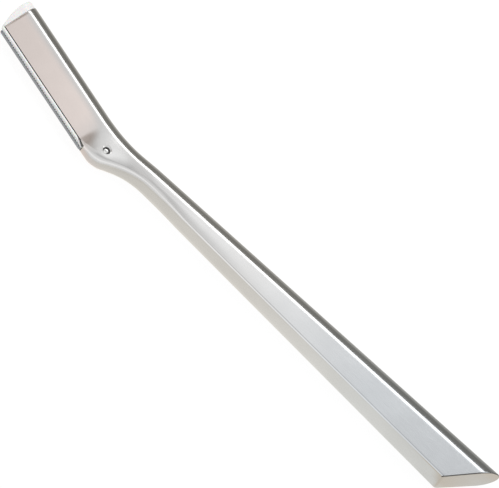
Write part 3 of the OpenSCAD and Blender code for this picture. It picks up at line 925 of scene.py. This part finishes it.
def rough_steel_painted_shade(scene):
    """Rough steel darkened as painted shade inside the slot and on the narrow walls of its lips."""
    material, n = new_material("unpolished_slot_steel")
    g = grain(n, head_axes(n, Shape(scene))[1], 400.0, 3000.0, 300.0, 0.1)
    return end_material(material, n, g, dimmed(n, g, scene.razor_finishes.slot, 0.8), (0.4, 0.5))


def pin_steel_with_painted_glint(scene):
    """Polished steel of the pin, with a painted highlight in the middle and a painted dark reflection at the
    rim.
    """
    material, n = new_material("polished_pin_steel")
    look, place = scene.razor_finishes, n.place()
    g = grain(n, place, 900.0, 900.0, 700.0, 0.02)
    # Middle of the painted highlight, set off the pin's axis where the lamp shows in the dome; the dark round
    # it is a painted dark reflection
    middle = Shape(scene).in_part(-0.05 * MM, -0.38 * MM, 0)
    flat = n.vector_calc("MULTIPLY", n.vector_calc("ADD", place, -middle), (1.0, 1.0, 0.0))
    rim = n.ranged(n.vector_calc("LENGTH", flat), 0.42 * MM, 0.66 * MM, 0.0, 1.0, True)
    colour = n.blend(rim, dimmed(n, g, look.polished, 0.94), look.pin_dark_reflection)
    return end_material(material, n, g, colour, (0.05, 0.1))


def white_plastic(scene):
    name = "white_moulded_plastic"
    if name in bpy.data.materials:
        return bpy.data.materials[name]
    material, n = new_material(name)
    g = grain(n, n.place(), 1500.0, 1500.0, 260.0, 0.03)
    return end_material(material, n, g, dimmed(n, g, scene.razor_finishes.plastic, 0.965), (0.28, 0.36),
                        values={"Subsurface Weight": 0.12, "Subsurface Scale": 0.8 * MM, "IOR": 1.49})


def blade_steel(scene):
    material, n = new_material("ground_blade_steel")
    g = grain(n, head_axes(n, Shape(scene))[1], 9000.0, 700.0, 200.0, 0.06)
    return end_material(material, n, g, dimmed(n, g, scene.razor_finishes.blade, 0.86, "Grain"), (0.2, 0.3),
                        "Mottle")


def guard_steel(scene):
    material, n = new_material("stamped_guard_steel")
    g = grain(n, head_axes(n, Shape(scene))[1], 1200.0, 2400.0, 400.0, 0.08)
    return end_material(material, n, g, dimmed(n, g, scene.razor_finishes.guard, 0.93), (0.3, 0.4))


# Stage, light and camera

# The picture's width in pixels, its pixels per millimetre, and the pixels from the pin's foot to its middle
PICTURE_W, PER_MM, MIDDLE_X, MIDDLE_Y = 499, 4.17, 149.506, -84.192
# Cosine and sine of the picture's roll
ROLL = 0.8, 0.6


def build_camera(scene):
    """Camera at the photograph's viewing angle: 7.4 degrees round, 60 degrees up, and rolled."""
    around, above = math.radians(7.4), math.radians(60)
    right = Vector((math.cos(around), math.sin(around), 0))
    up = Vector((-math.sin(around) * math.sin(above), math.cos(around) * math.sin(above), math.cos(above)))
    away = right.cross(up)
    x, y = MIDDLE_X / PER_MM * MM, MIDDLE_Y / PER_MM * MM
    target = (Shape(scene).in_part(0, 0, 0) + right * (ROLL[0] * x - ROLL[1] * y)
              + up * (ROLL[1] * x + ROLL[0] * y))
    data = bpy.data.cameras.new("camera")
    data.lens, data.sensor_width = 1000, 36
    data.clip_start, data.clip_end = 0.1, 20
    cam = bpy.data.objects.new("camera", data)
    scene.collection.objects.link(cam)
    axes = Matrix((ROLL[0] * right + ROLL[1] * up, ROLL[0] * up - ROLL[1] * right, away))
    matrix = axes.transposed().to_4x4()
    matrix.translation = target + away * (PICTURE_W / PER_MM * MM * data.lens / data.sensor_width)
    cam.matrix_world = matrix
    scene.camera = cam


# Brightness of the white room that gloss shows, by the angle from the front horizon over the top
ROOM = [(0, 0.95), (17, 1.0), (23, 1.24), (31, 1.28), (38, 1.0), (57, 0.9), (62, 0.68), (72, 0.68),
        (79, 0.86), (90, 0.93), (100, 0.97), (180, 0.97)]
ROOM_PEAK = 1.3
# Brightness of the table in the gloss, by the distance behind the object in millimetres
TABLE_BEHIND = [(0, 0.95), (2.5, 0.8), (6, 0.6), (15, 0.46), (1000, 0.4)]


def light_path(nodes):
    """The light path's outputs, and a mask of what the eye sees, also through clear material."""
    path = nodes.add("ShaderNodeLightPath").outputs
    return path, nodes.calc("MAXIMUM", path["Is Camera Ray"], path["Is Transmission Ray"])


def build_world(scene):
    """White room: even light, plain white to the eye, and brighter and darker bands in the gloss."""
    world = bpy.data.worlds.new("white_room")
    scene.world = world
    world.use_nodes = True
    world.node_tree.nodes.clear()
    n = Nodes(world.node_tree)
    path, seen = light_path(n)
    toward = n.split(n.add("ShaderNodeTexCoord").outputs["Generated"])
    turn = n.calc("ARCTAN2", toward["Z"], n.calc("MULTIPLY", toward["Y"], -1.0))
    shade = n.ramp(n.ranged(turn, 0.0, math.pi, 0.0, 1.0), [(a / 180, v / ROOM_PEAK) for a, v in ROOM])
    strength = n.blend(path["Is Glossy Ray"], n.ranged(seen, 0.0, 1.0, 0.85, 1.0),
                       n.calc("MULTIPLY", shade, ROOM_PEAK), kind="FLOAT")
    light = n.add("ShaderNodeBackground", {"Strength": strength, "Color": (1, 1, 1, 1)})
    n.end(light.outputs[0], "ShaderNodeOutputWorld")


def flat_card(name, corners, material):
    bpy.ops.object.select_all(action="DESELECT")
    bpy.ops.mesh.primitive_plane_add(size=1, location=(0, 0, 0))
    card = bpy.context.object
    card.name = card.data.name = name
    for vert, corner in zip(card.data.vertices, corners):
        vert.co = corner
    card.data.materials.append(material)
    return card


def gloss_only(obj):
    obj.visible_camera = obj.visible_diffuse = obj.visible_shadow = obj.visible_transmission = False


def on_line(table, x):
    """Value at x on the straight lines through a table of places and values."""
    return next(mix(v0, v1, (x - x0) / (x1 - x0)) for (x0, v0), (x1, v1) in zip(table, table[1:])
                if x0 <= x <= x1)


def table_glow(away, front, along=0, end=0):
    """Tint of the table in the gloss, at a distance in metres, on the front or the far side."""
    plain = mix(0.84, 1.08, along)
    near = [(0, 1.18), (0.5, mix(1, 1.12, along)), (1.1, plain + 0.03), (3, plain), (1000, plain)]
    value = on_line(near if front else TABLE_BEHIND, away / MM)
    return Vector((value, value * 0.97, value * 0.905)).lerp(Vector((0.94, 0.835, 0.7)), end)


def build_floor(scene):
    """Pale floor: near white to the eye, with the object's shadow, and tinted in the gloss."""
    material, n = new_material("pale_floor")
    place = n.place()
    speck = n.add("ShaderNodeTexNoise", {"Vector": place, "Scale": 40.0, "Detail": 2.0}).outputs["Fac"]
    base = n.add("ShaderNodeBsdfDiffuse", {"Color": n.grey(n.ranged(speck, *SPREAD["Mottle"], 0.86, 0.88))})
    path, seen = light_path(n)
    plain = n.add("ShaderNodeMixShader", {0: n.ranged(seen, 0.0, 1.0, 0.0, 0.82), 1: base.outputs[0],
                                          2: n.emission((1, 1, 1, 1), 1.08)})
    behind = n.ranged(n.split(place)["Y"], 0.0, 10 * MM, 0.0, 1.0)
    glow = n.blend(behind, (*table_glow(1, True), 1.0), (*table_glow(1, False), 1.0))
    both = n.add("ShaderNodeMixShader", {0: path["Is Glossy Ray"], 1: plain.outputs[0], 2: n.emission(glow)})
    n.end(both.outputs[0])
    far, low = 4.0, -0.02 * MM
    flat_card("floor", [(x, y, low) for y in (-far, far) for x in (-far, far)], material)


def build_sheet(scene):
    """Flat sheet round the handle that only gloss sees: pale beside the steel and dimmer farther out."""
    s = Shape(scene)
    h = s.h
    # Distances of the sheet's rows from the steel's outline, in millimetres
    aways = [0, 0.25, 0.5, 0.8, 1.1, 1.7, 2.5, 3.5, 4.7, 6, 8, 11, 15, 22, 40]
    start, end, steps, under = -h.head_len - 44 * MM, h.grip_len + 52 * MM, 130, 0.01 * MM
    stations = [mix(start, end, k / steps) for k in range(steps + 1)]
    # The table's rosy tone beside the bulge: its station, its reach and its strength in each colour
    rosy_at, rosy_reach, rosy = -2 * MM, 8 * MM, (0.13, 0.075, 0.09)
    bpy.ops.object.select_all(action="DESELECT")
    bpy.ops.mesh.primitive_grid_add(x_subdivisions=len(stations) - 1, y_subdivisions=2 * len(aways) - 1,
                                    size=1, location=(0, 0, 0))
    sheet = bpy.context.object
    sheet.name = sheet.data.name = "table_glow_sheet"
    tone = sheet.data.attributes.new("table_tone", "FLOAT_COLOR", "POINT")
    for index, vert in enumerate(sheet.data.vertices):
        row, column = divmod(index, len(stations))
        w = stations[column]
        front = row < len(aways)
        away = (aways[len(aways) - 1 - row] if front else aways[row - len(aways)]) * MM
        place = s.at(w, s.blade_side(w) - away if front else s.spine(w) + away)
        past = max(0, (place.x + s.origin.x - h.grip_len) * math.cos(h.butt_cut)
                   - (place.y + s.origin.y + h.butt_out) * math.sin(h.butt_cut),
                   -w - h.head_len - s.c.crown_h)
        vert.co = place - Vector((0, 0, under))
        glow = table_glow(math.hypot(past, away), front, min(1, max(0, s.along_grip(w))),
                          min(1, past / MM) if w > 0 else 0)
        share = max(0, 1 - abs(w - rosy_at) / rosy_reach) if front else 0
        tone.data[index].color = (*(v * (1 + share * k) for v, k in zip(glow, rosy)), 1.0)
    material, n = new_material("table_glow")
    n.end(n.emission(n.add("ShaderNodeAttribute", attribute_name="table_tone").outputs["Color"]))
    sheet.data.materials.append(material)
    gloss_only(sheet)


def soft_card(name, centre, wide, tall, colour, strength=1.0, added=True):
    """Card that only gloss sees, which fades out to its edge: it adds its light, or stands in the way."""
    material, n = new_material(name)
    moved = n.vector_calc("ADD", n.place(), -centre)
    spans = [n.vector_calc("DOT_PRODUCT", moved, v / v.length_squared) for v in (wide, tall)]
    away = n.vector_calc("LENGTH", n.add("ShaderNodeCombineXYZ", {0: spans[0], 1: spans[1]}).outputs[0])
    share = n.ranged(away, 0.2, 1.0, strength, 0.0, True)
    clear = n.add("ShaderNodeBsdfTransparent").outputs[0]
    if added:
        both = n.add("ShaderNodeAddShader", {0: n.emission(colour, share), 1: clear})
    else:
        both = n.add("ShaderNodeMixShader", {0: share, 1: clear, 2: n.emission(colour)})
    n.end(both.outputs[0])
    gloss_only(flat_card(name, [centre + x * wide + y * tall for y in (-1, 1) for x in (-1, 1)], material))


def far_card(name, toward, half_w, half_h, *look):
    """Soft card one metre away in a direction."""
    toward = Vector(toward).normalized()
    wide = toward.cross(Vector((0, 1, 0))).normalized()
    soft_card(name, toward, wide * half_w, toward.cross(wide).normalized() * half_h, *look)


def build_cards(scene):
    """The studio's cards, which only gloss sees: a grey and a brown flag, and two pale reflectors."""
    material, n = new_material("grey_flag")
    n.end(n.emission((0.26, 0.253, 0.23, 1)))
    y, side = 1.5, 5.0
    top = y * math.tan(math.radians(49))
    gloss_only(flat_card("grey_flag", [(x, y, z) for z in (0, top) for x in (-side, side)], material))
    far_card("brown_flag", (-0.47, 0.13, 0.865), 0.21, 0.21, (0.34, 0.3, 0.265, 1), 1.0, False)
    far_card("bulge_reflector", (-0.31, -0.34, 0.89), 0.22, 0.2, (1, 0.95, 0.92, 1), 0.3)
    soft_card("neck_reflector", Shape(scene).in_part(12 * MM, 60 * MM, 300 * MM), Vector((42 * MM, 0, 0)),
              Vector((0, 115 * MM, 0)), (0.95, 0.98, 1, 1), 0.34)


def build_lamp(scene):
    """Long strip light above and behind the object."""
    data = bpy.data.lights.new("strip_light", "AREA")
    data.shape, data.size, data.size_y, data.energy = "RECTANGLE", 3.0, 0.38, 5.9
    lamp = bpy.data.objects.new("strip_light", data)
    scene.collection.objects.link(lamp)
    height, reach = math.radians(58.3), 1.3
    lamp.location = Vector((0, math.cos(height), math.sin(height))) * reach
    lamp.rotation_mode = "QUATERNION"
    lamp.rotation_quaternion = lamp.location.to_track_quat("Z", "Y")
    lamp.visible_camera = False


def build_stage(scene):
    """The camera, the world, the floor, what only gloss sees, and the lamp."""
    scene.view_settings.view_transform = "Standard"
    for build in (build_camera, build_world, build_floor, build_sheet, build_cards, build_lamp):
        build(scene)


# Operators and panel

class RAZOR_OT_handle(bpy.types.Operator):
    """Build the steel handle with its slot and pin hole"""
    bl_idname = "razor.handle"
    bl_label = "Handle"

    def execute(self, context):
        build_handle(context.scene)
        return {"FINISHED"}


class RAZOR_OT_pin(bpy.types.Operator):
    """Build the polished neck pin"""
    bl_idname = "razor.pin"
    bl_label = "Neck pin"

    def execute(self, context):
        build_pin(context.scene)
        return {"FINISHED"}


class RAZOR_OT_frame(bpy.types.Operator):
    """Build the cartridge's moulding with its end cap"""
    bl_idname = "razor.frame"
    bl_label = "Cartridge moulding"

    def execute(self, context):
        build_frame(context.scene)
        return {"FINISHED"}


class RAZOR_OT_cover(bpy.types.Operator):
    """Build the cartridge's back leaf"""
    bl_idname = "razor.cover"
    bl_label = "Back leaf"

    def execute(self, context):
        build_cover(context.scene)
        return {"FINISHED"}


class RAZOR_OT_blade(bpy.types.Operator):
    """Build the blade with its honed bevel"""
    bl_idname = "razor.blade"
    bl_label = "Blade"

    def execute(self, context):
        build_blade(context.scene)
        return {"FINISHED"}


class RAZOR_OT_guard(bpy.types.Operator):
    """Build the folded guard with its teeth"""
    bl_idname = "razor.guard"
    bl_label = "Guard"

    def execute(self, context):
        build_guard(context.scene)
        return {"FINISHED"}


class RAZOR_OT_stage(bpy.types.Operator):
    """Build the floor, the light and the camera"""
    bl_idname = "razor.stage"
    bl_label = "Stage"

    def execute(self, context):
        build_stage(context.scene)
        return {"FINISHED"}


class RAZOR_PT_panel(bpy.types.Panel):
    """Sizes, finishes and build buttons of the razor"""
    bl_idname = "RAZOR_PT_panel"
    bl_label = "Facial razor"
    bl_space_type = "VIEW_3D"
    bl_region_type = "UI"
    bl_category = "Razor"

    def draw(self, context):
        for group in ("razor_handle", "razor_pin", "razor_cartridge", "razor_finishes"):
            box = self.layout.box()
            values = getattr(context.scene, group)
            for name in values.__annotations__:
                box.prop(values, name)
        for operator in OPERATORS:
            self.layout.operator(operator.bl_idname)


GROUPS = {"razor_handle": HandleSizes, "razor_pin": PinSizes, "razor_cartridge": CartridgeSizes,
          "razor_finishes": Finishes}
OPERATORS = (RAZOR_OT_stage, RAZOR_OT_handle, RAZOR_OT_pin, RAZOR_OT_frame, RAZOR_OT_cover, RAZOR_OT_blade,
             RAZOR_OT_guard)


def register():
    for cls in (*GROUPS.values(), *OPERATORS, RAZOR_PT_panel):
        bpy.utils.register_class(cls)
    for name, cls in GROUPS.items():
        setattr(bpy.types.Scene, name, PointerProperty(type=cls))


def unregister():
    for name in GROUPS:
        delattr(bpy.types.Scene, name)
    for cls in reversed((*GROUPS.values(), *OPERATORS, RAZOR_PT_panel)):
        bpy.utils.unregister_class(cls)


def main():
    register()
    bpy.ops.razor.stage()
    bpy.ops.razor.handle()
    bpy.ops.razor.pin()
    bpy.ops.razor.frame()
    bpy.ops.razor.cover()
    bpy.ops.razor.blade()
    bpy.ops.razor.guard()


if __name__ == "__main__":
    main()
